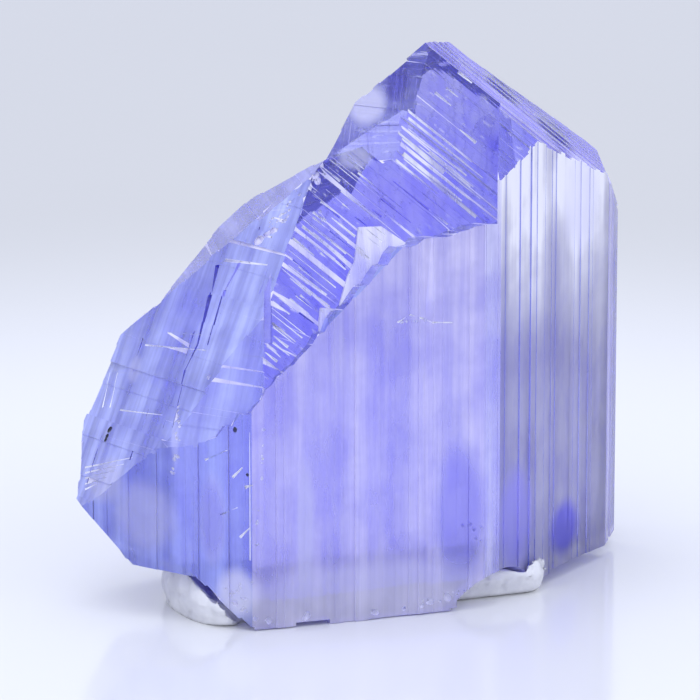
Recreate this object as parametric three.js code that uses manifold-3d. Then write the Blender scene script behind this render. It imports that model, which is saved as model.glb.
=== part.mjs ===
// Tanzanite crystal: zoisite individuals grown side by side, standing in a pinch of white putty.
// Millimetres, +Z up. The viewer is on the -Y side, and the drafting zero is the foot of the front edge.

import * as THREE from 'three';
import { mergeVertices } from 'three/addons/utils/BufferGeometryUtils.js';
import Module from 'manifold-3d';

const wasm = await Module();
wasm.setup();

// Upright prism faces: azimuth in degrees, where 0 faces the viewer and 90 faces +X
const LEFT_AZIMUTH = -25;
const FRONT_AZIMUTH = 20;
const CORNER_AZIMUTH = 40;
const RIGHT_AZIMUTH = 58;
const FAR_RIGHT_AZIMUTH = 78;
const BACK_RIGHT_AZIMUTH = 150;
const BACK_AZIMUTH = 200;
const BACK_LEFT_AZIMUTH = 220;
const FAR_LEFT_AZIMUTH = 265;

// Widths of the prism faces, and the depth of the crystal behind its front face
const FRONT_WIDTH = 9.85;
const CORNER_WIDTH = 0.8;
const RIGHT_WIDTH = 8.45;
const FAR_RIGHT_WIDTH = 2.75;
const LEFT_WIDTH = 7.8;
const FAR_LEFT_WIDTH = 2.6;
const BODY_DEPTH = 10.2;

// Ridge faces share one edge direction, which falls to the right. Their lean turns about it from the viewer
const RIDGE_FALL = 39.3;
const STEEP_LEAN = 24.5;
const FLAT_LEAN = 52;
const CREST_LEAN = 88;
const BACK_LEAN = 140;

// Left faces of the heads: azimuth and upward pitch
const LEFT_FACE = [-28, 15.8];
const LEFT_RIM = [-80.8, 44.1];
const LEFT_CORNER = [-53, 29.9];
const HEAD_LEFT = [-32.4, 26.6];
const HEAD_SHELF = [11.6, 48];
const MIDDLE_OUTLINE = [-116.5, 47.8];
const TOP_OUTLINE = [-116, 47];
const TOP_SIDE = [-109, 23];
const TOP_BACK = [171, 38];
const RIGHT_SHOULDER = [92, 19];
const SLAB_FLANK = [-53.5, 46.3];
const RIGHT_FLANK = [-93, 0];

// Points that the faces of the heads pass through
const LEFT_APEX = new THREE.Vector3(2.86, 4.05, 18.17);
const LEFT_KNEE = new THREE.Vector3(0.26, 2.26, 15.22);
const LEFT_CREST_BACK = new THREE.Vector3(2.9, 5.6, 18.2);
const LEFT_CORNER_TIP = new THREE.Vector3(-5.0, 2.33, 5.85);
const MIDDLE_APEX = new THREE.Vector3(5.6, 4.7, 17.85);
const MIDDLE_LEFT = new THREE.Vector3(3.64, 4.3, 17.82);
const MIDDLE_CREST = new THREE.Vector3(6.1, 6.95, 19.7);
const TOP_FOOT = new THREE.Vector3(6.06, 6.86, 19.65);
const TOP_APEX = new THREE.Vector3(7.02, 8.0, 22.0);
const TOP_LEFT = new THREE.Vector3(3.9, 8.34, 19.5);
const TOP_CREST_BACK = new THREE.Vector3(7.0, 11.4, 22.0);
const RIGHT_PEAK = new THREE.Vector3(11.57, 6.6, 18.62);
const RIGHT_NOTCH = new THREE.Vector3(9.65, 4.4, 17.2);
const SHOULDER_TOP = new THREE.Vector3(14.1, 12.0, 16.75);

// Left outline of the left head, from the top down: a point, then the azimuth and pitch of the face there
const LEFT_OUTLINE = [
  { point: [-0.16, 8.0, 15.75], face: [-132.7, 63.7] },
  { point: [-0.16, 8.0, 15.75], face: [-115.7, 46.1] },
  { point: [-2.77, 7.57, 13.02], face: [-110.5, 31.2] },
  { point: [-5.55, 3.72, 10.17], face: [-107.9, 12.7] },
  { point: [-6.23, 3.33, 7.83], face: [-108.3, 17.6] },
];

// The pale front slab ends in a ragged edge: run along the front face, and height
const SLAB_DEPTH = 3.2;
const SLAB_FALL = 9;
const SLAB_FLOOR = -2;
const SLAB_OVERSIZE = 1;
const SLAB_FLANK_POINT = new THREE.Vector3(5.86, 2.13, 14.85);
const SLAB_TOP = [[-1.8, 7.4], [0.2, 9.1], [2.0, 11.0], [6.2, 14.85], [7.8, 15.25], [9.6, 15.5], [11, 15.6]];
const TOOTH_SPACING = 0.36;
const TOOTH_HEIGHT = 0.3;

// The broken underside: a hollow foot with a lip on the table, and a left part that hangs clear of it
const OVERHANG_TIP = new THREE.Vector3(-4.94, 2.3, 2.1);
const OVERHANG_SIDE = [-82, -41.5];
const OVERHANG_UNDERSIDE = [-90, -86];
const FOOT_FLANK = new THREE.Vector3(-0.47, 0.22, 0.36);
const FOOT_SIDE = [-81, -46.4];
const DOWN = [0, -90];
const LIP_WIDTH = 1.3;
const RIGHT_LIP_RISE = 0.36;
const HOLLOW_RISE = 0.95;
const BREAK_GRAIN = new THREE.Vector3(-0.34, 0.94, 0.3);
const NOTCH_CENTRE = new THREE.Vector3(9.85, 4.3, 0);
const NOTCH_SIZE = new THREE.Vector3(2.3, 2.3, 1.5);

// Striations and broken steps: width and depth of one strip, and how far the width varies as a share
const PRISM_STRIP = 0.42;
const PRISM_STEP = 0.09;
const RIDGE_STRIP = 0.34;
const RIDGE_STEP = 0.11;
const LEVEL_STRIP = 0.9;
const LEVEL_STEP = 0.11;
const BREAK_STRIP = 1.1;
const BREAK_STEP = 0.2;
const NARROWEST_STRIP = 0.35;
const WIDEST_STRIP = 1.65;

// A narrow crevice beside the left edge of the striated face
const CREVICE_SIZE = new THREE.Vector3(0.26, 1.1, 2.9);
const CREVICE_CENTRE = new THREE.Vector3(0.62, 1.5, 12.75);
const CREVICE_LEAN = -20;

// The putty: a short roll pressed flat under the crystal
const PUTTY_RADIUS = 1.5;
const PUTTY_LENGTH = 12.8;
const PUTTY_SPREAD = 2.2;
const PUTTY_CENTRE = new THREE.Vector3(4.0, 5.8, 0.8);
const PUTTY_TURN = 22;
const PUTTY_GAP = 0.12;
const PUTTY_NOTCH_SHARE = 0.92;

// Size of a cutting block, and how far its striations reach from the point that the face passes through
const REACH = 40;
const STRIATED_REACH = 13;

// Repeatable random numbers for the uneven strips and teeth
const SEED_SPACING = 7919;
const RANDOM_FACTOR = 16807;
const RANDOM_LIMIT = 2147483647;

const UP = new THREE.Vector3(0, 0, 1);
const FRONT_EDGE = new THREE.Vector3(0, 0, 0);
const RIDGE = new THREE.Vector3(Math.cos(radians(RIDGE_FALL)), 0, -Math.sin(radians(RIDGE_FALL)));
const RIDGE_UP = new THREE.Vector3(Math.sin(radians(RIDGE_FALL)), 0, Math.cos(radians(RIDGE_FALL)));

function radians(degrees) {
  return THREE.MathUtils.degToRad(degrees);
}

function facing(azimuth, pitch = 0) {
  const level = Math.cos(radians(pitch));
  const x = Math.sin(radians(azimuth)) * level;
  const y = -Math.cos(radians(azimuth)) * level;
  return new THREE.Vector3(x, y, Math.sin(radians(pitch)));
}

function ridgeFacing(lean) {
  const towardsViewer = new THREE.Vector3(0, -Math.cos(radians(lean)), 0);
  return towardsViewer.addScaledVector(RIDGE_UP, Math.sin(radians(lean)));
}

function strike(normal) {
  return UP.clone().cross(normal).normalize();
}

function alongFace(point, azimuth, distance) {
  return point.clone().addScaledVector(strike(facing(azimuth)), distance);
}

function seededRandom(seed) {
  let state = seed * SEED_SPACING + 1;
  return () => {
    state = (state * RANDOM_FACTOR) % RANDOM_LIMIT;
    return state / RANDOM_LIMIT;
  };
}

function toSolid(geometry) {
  geometry.deleteAttribute('normal');
  geometry.deleteAttribute('uv');
  const merged = mergeVertices(geometry);
  const vertProperties = new Float32Array(merged.attributes.position.array);
  const triVerts = new Uint32Array(merged.index.array);
  return new wasm.Manifold(new wasm.Mesh({ numProp: 3, vertProperties, triVerts }));
}

function toGeometry(solid) {
  const mesh = solid.getMesh();
  const geometry = new THREE.BufferGeometry();
  geometry.setAttribute('position', new THREE.BufferAttribute(new Float32Array(mesh.vertProperties), 3));
  geometry.setIndex(new THREE.BufferAttribute(new Uint32Array(mesh.triVerts), 1));
  return geometry;
}

function union(solids) {
  return solids.reduce((joined, solid) => joined.add(solid));
}

function common(solids) {
  return solids.reduce((kept, solid) => kept.intersect(solid));
}

// The outline of a striated face across its grain: strips that stand back by uneven steps
function stripOutline(strip, step, seed) {
  const random = seededRandom(seed);
  const outline = new THREE.Shape();
  outline.moveTo(-REACH, -2 * REACH);
  outline.lineTo(-REACH, 0);
  let across = -STRIATED_REACH;
  outline.lineTo(across, 0);
  while (across < STRIATED_REACH) {
    const back = -step * random();
    outline.lineTo(across, back);
    across += strip * THREE.MathUtils.lerp(NARROWEST_STRIP, WIDEST_STRIP, random());
    outline.lineTo(across, back);
  }
  outline.lineTo(across, 0);
  outline.lineTo(REACH, 0);
  outline.lineTo(REACH, -2 * REACH);
  return outline;
}

// All the space behind a face that is striated along its grain
function behind(normal, point, grain, strip, step, seed) {
  const outline = stripOutline(strip, step, seed);
  const geometry = new THREE.ExtrudeGeometry(outline, { depth: 2 * REACH, steps: 1, bevelEnabled: false });
  geometry.translate(0, 0, -REACH);
  const across = normal.clone().cross(grain).normalize();
  const basis = new THREE.Matrix4().makeBasis(across, normal, grain).setPosition(point);
  return toSolid(geometry.applyMatrix4(basis));
}

// All the space behind a flat face, which may be moved out by a gap
function behindFlat(normal, point, gap = 0) {
  const geometry = new THREE.BoxGeometry(2 * REACH, 2 * REACH, 2 * REACH);
  geometry.translate(0, 0, gap - REACH);
  const turn = new THREE.Quaternion().setFromUnitVectors(UP, normal);
  geometry.applyQuaternion(turn).translate(point.x, point.y, point.z);
  return toSolid(geometry);
}

function levelFace([azimuth, pitch], point, seed) {
  const normal = facing(azimuth, pitch);
  return behind(normal, point, strike(normal), LEVEL_STRIP, LEVEL_STEP, seed);
}

function ridgeFace(lean, point, seed) {
  return behind(ridgeFacing(lean), point, RIDGE, RIDGE_STRIP, RIDGE_STEP, seed);
}

function brokenFace([azimuth, pitch], point, seed) {
  const normal = facing(azimuth, pitch);
  const grain = BREAK_GRAIN.clone().projectOnPlane(normal).normalize();
  return behind(normal, point, grain, BREAK_STRIP, BREAK_STEP, seed);
}

// The plan of the prism, laid out from the front edge to the right and to the left
const CORNER = alongFace(FRONT_EDGE, FRONT_AZIMUTH, FRONT_WIDTH);
const RIGHT_START = alongFace(CORNER, CORNER_AZIMUTH, CORNER_WIDTH);
const RIGHT_END = alongFace(RIGHT_START, RIGHT_AZIMUTH, RIGHT_WIDTH);
const FAR_RIGHT_END = alongFace(RIGHT_END, FAR_RIGHT_AZIMUTH, FAR_RIGHT_WIDTH);
const LEFT_END = alongFace(FRONT_EDGE, LEFT_AZIMUTH, -LEFT_WIDTH);
const FAR_LEFT_END = alongFace(LEFT_END, FAR_LEFT_AZIMUTH, -FAR_LEFT_WIDTH);
const BACK_MIDDLE = FRONT_EDGE.clone().addScaledVector(facing(FRONT_AZIMUTH), -BODY_DEPTH);

const PRISM_FACES = [
  { azimuth: LEFT_AZIMUTH, point: FRONT_EDGE },
  { azimuth: FRONT_AZIMUTH, point: FRONT_EDGE },
  { azimuth: CORNER_AZIMUTH, point: CORNER },
  { azimuth: RIGHT_AZIMUTH, point: RIGHT_START },
  { azimuth: FAR_RIGHT_AZIMUTH, point: RIGHT_END },
  { azimuth: BACK_RIGHT_AZIMUTH, point: FAR_RIGHT_END },
  { azimuth: BACK_AZIMUTH, point: BACK_MIDDLE },
  { azimuth: BACK_LEFT_AZIMUTH, point: FAR_LEFT_END },
  { azimuth: FAR_LEFT_AZIMUTH, point: LEFT_END },
];

function prism() {
  return common(PRISM_FACES.map(({ azimuth, point }, index) =>
    behind(facing(azimuth), point, UP, PRISM_STRIP, PRISM_STEP, index + 1)));
}

// The heads stand one behind the other with parallel faces, the left one lowest
function leftHead() {
  const outline = LEFT_OUTLINE.map(({ point, face }, index) =>
    levelFace(face, new THREE.Vector3(...point), 23 + index));
  return common([
    levelFace(LEFT_FACE, LEFT_KNEE, 20),
    levelFace(LEFT_RIM, LEFT_APEX, 21),
    ridgeFace(BACK_LEAN, LEFT_CREST_BACK, 22),
    ...outline,
  ]);
}

function middleHead() {
  return common([
    ridgeFace(FLAT_LEAN, MIDDLE_APEX, 31),
    levelFace(HEAD_SHELF, MIDDLE_APEX, 32),
    levelFace(HEAD_LEFT, MIDDLE_LEFT, 33),
    levelFace(MIDDLE_OUTLINE, MIDDLE_CREST, 34),
    ridgeFace(BACK_LEAN, MIDDLE_CREST, 35),
  ]);
}

function topHeads() {
  const top = common([
    ridgeFace(STEEP_LEAN, TOP_FOOT, 41),
    levelFace(HEAD_LEFT, TOP_APEX, 42),
    levelFace(TOP_OUTLINE, TOP_LEFT, 43),
    levelFace(TOP_SIDE, TOP_LEFT, 44),
  ]);
  const right = ridgeFace(FLAT_LEAN, RIGHT_PEAK, 45)
    .intersect(behindFlat(facing(...RIGHT_FLANK), RIGHT_NOTCH));
  const crest = common([
    ridgeFace(CREST_LEAN, TOP_APEX, 46),
    levelFace(TOP_BACK, TOP_CREST_BACK, 47),
    levelFace(RIGHT_SHOULDER, SHOULDER_TOP, 48),
  ]);
  return { top: top.intersect(crest), right: right.intersect(crest) };
}

// The front slab stands before the striated face. Its ragged top falls away from the viewer
function frontSlab() {
  const random = seededRandom(51);
  const outline = new THREE.Shape();
  outline.moveTo(SLAB_TOP[0][0], SLAB_FLOOR);
  for (let i = 0; i + 1 < SLAB_TOP.length; i += 1) {
    const from = new THREE.Vector2(...SLAB_TOP[i]);
    const to = new THREE.Vector2(...SLAB_TOP[i + 1]);
    const teeth = Math.ceil(from.distanceTo(to) / TOOTH_SPACING);
    for (let tooth = 0; tooth < teeth; tooth += 1) {
      const point = from.clone().lerp(to, tooth / teeth);
      outline.lineTo(point.x, point.y + TOOTH_HEIGHT * (random() - 0.5));
    }
  }
  const end = SLAB_TOP[SLAB_TOP.length - 1];
  outline.lineTo(...end);
  outline.lineTo(end[0], SLAB_FLOOR);
  const depth = SLAB_DEPTH + SLAB_OVERSIZE;
  const geometry = new THREE.ExtrudeGeometry(outline, { depth, steps: 1, bevelEnabled: false });
  geometry.translate(0, 0, -SLAB_DEPTH);
  const out = facing(FRONT_AZIMUTH, SLAB_FALL);
  const slant = new THREE.Matrix4().makeBasis(strike(out), UP, out);
  return toSolid(geometry.applyMatrix4(slant)).intersect(behindFlat(facing(...SLAB_FLANK), SLAB_FLANK_POINT));
}

function footNotch(share = 1) {
  const notch = new THREE.IcosahedronGeometry(share, 1);
  notch.scale(NOTCH_SIZE.x, NOTCH_SIZE.y, NOTCH_SIZE.z);
  return toSolid(notch.translate(NOTCH_CENTRE.x, NOTCH_CENTRE.y, NOTCH_CENTRE.z));
}

function crevice() {
  const slit = new THREE.BoxGeometry(CREVICE_SIZE.x, CREVICE_SIZE.y, CREVICE_SIZE.z);
  slit.rotateX(radians(CREVICE_LEAN));
  return toSolid(slit.translate(CREVICE_CENTRE.x, CREVICE_CENTRE.y, CREVICE_CENTRE.z));
}

// The solid above the underside, whose faces come from the given function
function aboveUnderside(face) {
  const overhang = face(OVERHANG_SIDE, OVERHANG_TIP).intersect(face(OVERHANG_UNDERSIDE, OVERHANG_TIP));
  const lipBack = FRONT_EDGE.clone().addScaledVector(facing(FRONT_AZIMUTH), -LIP_WIDTH);
  const frontLip = face(DOWN, FRONT_EDGE).intersect(face([BACK_AZIMUTH, 0], lipBack));
  const rightLipBack = RIGHT_START.clone().addScaledVector(facing(RIGHT_AZIMUTH), -LIP_WIDTH);
  const rightLipFoot = RIGHT_START.clone().setZ(RIGHT_LIP_RISE);
  const rightLip = face(DOWN, rightLipFoot).intersect(face([RIGHT_AZIMUTH + 180, 0], rightLipBack));
  const hollow = face(DOWN, FRONT_EDGE.clone().setZ(HOLLOW_RISE));
  const foot = union([frontLip, rightLip, hollow]).intersect(face(FOOT_SIDE, FOOT_FLANK));
  return overhang.add(foot);
}

function buildCrystal() {
  const { top, right } = topHeads();
  const striated = union([leftHead(), middleHead(), top])
    .intersect(ridgeFace(STEEP_LEAN, LEFT_APEX, 11))
    .subtract(crevice());
  const corner = levelFace(LEFT_CORNER, LEFT_CORNER_TIP, 12);
  let seed = 60;
  const underside = aboveUnderside((angles, point) => brokenFace(angles, point, seed += 1));
  const crystal = common([union([striated, right, frontSlab()]), prism(), corner, underside]);
  return crystal.subtract(footNotch());
}

// The putty keeps clear of the crystal by a small gap and fills the notch in its foot
function buildPutty() {
  const roll = new THREE.CapsuleGeometry(PUTTY_RADIUS, PUTTY_LENGTH, 8, 16, 8);
  roll.rotateZ(Math.PI / 2).scale(1, PUTTY_SPREAD, 1).rotateZ(radians(PUTTY_TURN));
  roll.translate(PUTTY_CENTRE.x, PUTTY_CENTRE.y, PUTTY_CENTRE.z);
  const sides = PRISM_FACES.map(({ azimuth, point }) => behindFlat(facing(azimuth), point, PUTTY_GAP));
  const underside = aboveUnderside((angles, point) => behindFlat(facing(...angles), point, PUTTY_GAP));
  const socket = common([...sides, underside]).subtract(footNotch(PUTTY_NOTCH_SHARE));
  const aboveTable = behindFlat(facing(...DOWN), FRONT_EDGE);
  return toSolid(roll).intersect(aboveTable).subtract(socket);
}

function node(name, solid, material) {
  const mesh = new THREE.Mesh(toGeometry(solid), material);
  mesh.name = name;
  return mesh;
}

const crystalMaterial = new THREE.MeshStandardMaterial({ color: 0x8f8cf0, roughness: 0.12, metalness: 0 });
const puttyMaterial = new THREE.MeshStandardMaterial({ color: 0xe9eaf0, roughness: 0.75, metalness: 0 });

const tanzanite = new THREE.Group();
tanzanite.name = 'tanzanite_crystal';
tanzanite.add(node('crystal', buildCrystal(), crystalMaterial));
tanzanite.add(node('putty', buildPutty(), puttyMaterial));

// The frame's zero is under the middle of the whole part, on the table
const box = new THREE.Box3().setFromObject(tanzanite);
const middle = box.getCenter(new THREE.Vector3()).setZ(box.min.z);
tanzanite.children.forEach((mesh) => mesh.position.sub(middle));

export default tanzanite;
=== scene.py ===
"""Tanzanite crystal standing in white display putty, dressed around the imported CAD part."""

import logging
import math
import random
from dataclasses import dataclass
from enum import Enum

import bmesh
import bpy
from mathutils import Matrix, Quaternion, Vector, noise
from mathutils.bvhtree import BVHTree


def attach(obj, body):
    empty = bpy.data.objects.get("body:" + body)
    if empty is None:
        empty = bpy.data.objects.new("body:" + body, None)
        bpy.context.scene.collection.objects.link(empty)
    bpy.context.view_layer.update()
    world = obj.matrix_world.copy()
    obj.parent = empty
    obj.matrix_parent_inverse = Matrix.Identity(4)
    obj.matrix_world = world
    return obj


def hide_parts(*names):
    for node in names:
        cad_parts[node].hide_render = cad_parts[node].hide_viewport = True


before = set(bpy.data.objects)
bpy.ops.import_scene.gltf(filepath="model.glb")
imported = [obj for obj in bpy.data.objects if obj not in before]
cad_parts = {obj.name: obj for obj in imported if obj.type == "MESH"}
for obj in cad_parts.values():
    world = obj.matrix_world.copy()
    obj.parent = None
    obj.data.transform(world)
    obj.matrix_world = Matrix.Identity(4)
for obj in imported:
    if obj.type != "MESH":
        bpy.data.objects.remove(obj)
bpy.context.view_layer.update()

LOG = logging.getLogger("tanzanite")
MM = 0.001
Colour = tuple[float, float, float]
Spot = tuple[float, float]
Size = tuple[float, float, float]
Span = tuple[float, float]

UPRIGHT = Vector((0, 0, 1))
# Distance in metres within which corners of the CAD's loose triangles are one
CAD_MERGE = 1e-7
# Fall of the ridge direction, in degrees
RIDGE_FALL = 39.3


def put(name: str, data: bpy.types.ID) -> bpy.types.Object:
    """Puts a new object into the scene.

    Args:
        name: The object's name.
        data: Its mesh, lamp or camera.

    Returns:
        The new object.
    """
    made = bpy.data.objects.new(name, data)
    bpy.context.scene.collection.objects.link(made)
    return made


def cad_copy(node: str) -> bmesh.types.BMesh:
    """Copies a CAD node's mesh and joins its loose triangles.

    Args:
        node: The node's name.

    Returns:
        The copy, in metres.
    """
    solid = bmesh.new()
    solid.from_mesh(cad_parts[node].data)
    bmesh.ops.remove_doubles(solid, verts=solid.verts, dist=CAD_MERGE)
    return solid


def apply_modifiers(piece: bpy.types.Object) -> None:
    """Makes what a piece's modifiers give into its own mesh.

    Args:
        piece: The piece.
    """
    depsgraph = bpy.context.evaluated_depsgraph_get()
    piece.data = bpy.data.meshes.new_from_object(piece.evaluated_get(depsgraph))
    piece.modifiers.clear()


def facing(azimuth: float, pitch: float = 0.0) -> Vector:
    """Gives a unit direction.

    Args:
        azimuth: Degrees, where 0 faces the viewer and 90 faces +X.
        pitch: Degrees above the level.

    Returns:
        The direction in the row frame.
    """
    level = math.cos(math.radians(pitch))
    x = math.sin(math.radians(azimuth)) * level
    y = -math.cos(math.radians(azimuth)) * level
    return Vector((x, y, math.sin(math.radians(pitch))))


RIDGE = Vector((math.cos(math.radians(RIDGE_FALL)), 0.0, -math.sin(math.radians(RIDGE_FALL))))
RIDGE_UP = Vector((math.sin(math.radians(RIDGE_FALL)), 0.0, math.cos(math.radians(RIDGE_FALL))))


def ridge_facing(lean: float) -> Vector:
    """Gives the way that a face along the ridge direction faces.

    Args:
        lean: Degrees that it leans back from the viewer.

    Returns:
        The direction in the row frame.
    """
    turn = math.radians(lean)
    return Vector((0, -math.cos(turn), 0)) + RIDGE_UP * math.sin(turn)


@dataclass(frozen=True)
class View:
    """The photograph's view of the stone.

    Attributes:
        target: What the camera looks at, in millimetres.
        elevation: Degrees that it looks down.
        distance: Millimetres from the target.
    """

    target: Vector = Vector((-0.085, -1.19, 9.85))
    elevation: float = 13.0
    distance: float = 200.0

    @property
    def ahead(self) -> Vector:
        """The direction that the camera looks in."""
        pitch = math.radians(self.elevation)
        return Vector((0, math.cos(pitch), -math.sin(pitch)))

    @property
    def eye(self) -> Vector:
        """The camera's place in millimetres."""
        return self.target - self.ahead * self.distance

    def towards(self, at: Spot) -> Vector:
        """Gives the direction of a line of sight.

        Args:
            at: Millimetres right of and above the target, as seen.

        Returns:
            A unit direction from the eye.
        """
        up = Vector((1, 0, 0)).cross(self.ahead)
        return (self.target + Vector((at[0], 0, 0)) + up * at[1] - self.eye).normalized()


VIEW = View()

# The steep grain of the left faces, and the length below which a direction counts as none
STEEP = Vector((0.31, 0.4, 0.86))
NO_LENGTH = 1e-4


class Grain(Enum):
    """The way that a face's striations run."""

    UPRIGHT = "upright"
    RIDGE = "ridge"
    LEVEL = "level"
    STEEP = "steep"

    def along(self, normal: Vector) -> Vector:
        """Gives the grain's direction in a face.

        Args:
            normal: The face's outward normal.

        Returns:
            A unit direction in the face.
        """
        wanted = {
            Grain.UPRIGHT: UPRIGHT,
            Grain.RIDGE: RIDGE,
            Grain.LEVEL: UPRIGHT.cross(normal),
            Grain.STEEP: STEEP,
        }[self]
        flat = wanted - normal * wanted.dot(normal)
        return flat.normalized() if flat.length > NO_LENGTH else normal.orthogonal().normalized()


@dataclass(frozen=True)
class Look:
    """How one kind of face looks.

    Attributes:
        frost: Share of the face that is frosted.
        rough: Roughness of the clear share.
        tint: Colour that the clear share adds to the stone's own.
        grain: The way that its striations run.
        fade: How much the frost thins out towards the foot, leaving the face clearer and darker there:
            painted shade.
        bloom: Colour of the frosted share.
    """

    frost: float
    rough: float
    tint: Colour
    grain: Grain = Grain.UPRIGHT
    fade: float = 0.0
    bloom: Colour = (0.84, 0.83, 1.0)


class Zone(Enum):
    """The kinds of face on the stone."""

    FRONT = Look(0.48, 0.2, (0.97, 0.92, 1.0), fade=0.25, bloom=(0.84, 0.79, 1.0))
    CORNER = Look(0.55, 0.25, (0.95, 0.93, 1.0), fade=0.4)
    # Right face: its dark grey clear share, which shows more towards the foot where the frost thins, is
    # painted shade
    RIGHT = Look(0.95, 0.45, (0.33, 0.31, 0.33), fade=0.8, bloom=(0.93, 0.92, 1.0))
    FAR_RIGHT = Look(0.35, 0.3, (0.7, 0.66, 0.9), fade=0.6)
    LOWER_LEFT = Look(0.45, 0.14, (0.92, 0.98, 1.0), bloom=(0.42, 0.48, 1.0))
    LEFT = Look(0.52, 0.07, (0.98, 1.0, 1.0), Grain.STEEP, bloom=(0.52, 0.57, 1.0))
    RIM = Look(0.3, 0.1, (0.97, 0.98, 1.0), Grain.LEVEL, bloom=(0.58, 0.58, 1.0))
    STRIATED = Look(0.03, 0.06, (0.6, 0.58, 1.0), Grain.RIDGE)
    BANDS = Look(0.04, 0.06, (0.66, 0.66, 1.0), Grain.RIDGE)
    CREST = Look(0.4, 0.2, (0.5, 0.45, 1.0), Grain.RIDGE, bloom=(0.3, 0.26, 0.9))
    HEAD = Look(0.14, 0.06, (0.97, 1.0, 1.0), Grain.LEVEL, bloom=(0.7, 0.72, 1.0))
    BACK = Look(0.12, 0.16, (0.98, 0.98, 1.0))
    BROKEN = Look(0.65, 0.5, (0.97, 0.97, 1.0), Grain.LEVEL)
    STEP = Look(0.85, 0.35, (0.97, 0.94, 1.0), bloom=(0.82, 0.79, 1.0))
    LINE = Look(0.85, 0.3, (1.0, 1.0, 1.0), bloom=(0.95, 0.95, 1.0))
    PIT = Look(0.55, 0.25, (1.0, 1.0, 1.0), bloom=(0.95, 0.95, 1.0))
    PLATE = Look(0.75, 0.25, (0.97, 0.95, 1.0), bloom=(0.88, 0.86, 1.0))
    SPECK = Look(1.0, 0.5, (0.1, 0.1, 0.2), bloom=(0.015, 0.015, 0.04))
    NOTCH = Look(0.0, 0.1, (0.6, 0.64, 0.97))


class Cut(Enum):
    """What a face was cut by, kept as its material index while the stone is carved."""

    NONE = 0
    LINE = 1
    PIT = 2
    PLATE = 3
    SPECK = 4
    NOTCH = 5


def cut_slots(mesh: bpy.types.Mesh) -> None:
    """Gives a new mesh an empty material slot for each kind of cut.

    Args:
        mesh: The mesh.
    """
    for _ in Cut:
        mesh.materials.append(None)


# The way that each prism face faces, in degrees of azimuth
PRISM_ZONES = {
    -25: Zone.LOWER_LEFT,
    20: Zone.FRONT,
    40: Zone.CORNER,
    58: Zone.RIGHT,
    78: Zone.FAR_RIGHT,
    150: Zone.BACK,
    -160: Zone.BACK,
    -140: Zone.BACK,
    -95: Zone.BACK,
}
# Where one kind of face ends and the next begins, in degrees
PRISM_PITCH = 4
UNDERSIDE_PITCH = -10
BANDS_LEAN = 38
CREST_LEAN = 70
BACK_LEAN = 110
RIM_AZIMUTH = -75
FAR_LEFT_AZIMUTH = -45
LEFT_AZIMUTH = -27
LEFT_PITCH = 22
# Share of a face's direction that may lie along the ridge, and share that points away at the back
RIDGE_SHARE = 0.04
BACK_SHARE = 0.35
# Faces narrower than this many millimetres, and turned this many degrees from a prism face, are steps
STEP_WIDTH = 0.115
STEP_TURN = 12


def zone_of(face: bmesh.types.BMFace) -> Zone:
    """Tells what kind of face this is from its shape and the way it faces.

    Args:
        face: A face of the stone, in millimetres.

    Returns:
        The zone whose look it takes.
    """
    if face.material_index != Cut.NONE.value:
        return Zone[Cut(face.material_index).name]
    normal = face.normal
    azimuth = math.degrees(math.atan2(normal.x, -normal.y))
    pitch = math.degrees(math.asin(max(-1.0, min(1.0, normal.z))))
    thin = face.calc_area() / max(edge.calc_length() for edge in face.edges) < STEP_WIDTH
    if abs(pitch) < PRISM_PITCH:
        turns = {known: abs((known - azimuth + 180) % 360 - 180) for known in PRISM_ZONES}
        nearest = min(turns, key=turns.get)
        return Zone.STEP if thin and turns[nearest] > STEP_TURN else PRISM_ZONES[nearest]
    if pitch < UNDERSIDE_PITCH:
        return Zone.BROKEN
    along_ridge = abs(normal.dot(RIDGE)) < RIDGE_SHARE
    lean = math.degrees(math.atan2(normal.dot(RIDGE_UP), -normal.y))
    if along_ridge and lean >= CREST_LEAN:
        return Zone.CREST if lean < BACK_LEAN else Zone.BACK
    if thin:
        return Zone.STEP
    if along_ridge:
        return Zone.STRIATED if lean < BANDS_LEAN else Zone.BANDS
    if normal.y > BACK_SHARE:
        return Zone.BACK
    if azimuth < RIM_AZIMUTH:
        return Zone.RIM
    low_left = azimuth < LEFT_AZIMUTH and pitch < LEFT_PITCH
    return Zone.LEFT if low_left or azimuth < FAR_LEFT_AZIMUTH else Zone.HEAD


# Value of a round gradient at which a soft ball is full
BALL_CORE = 0.55


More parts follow.
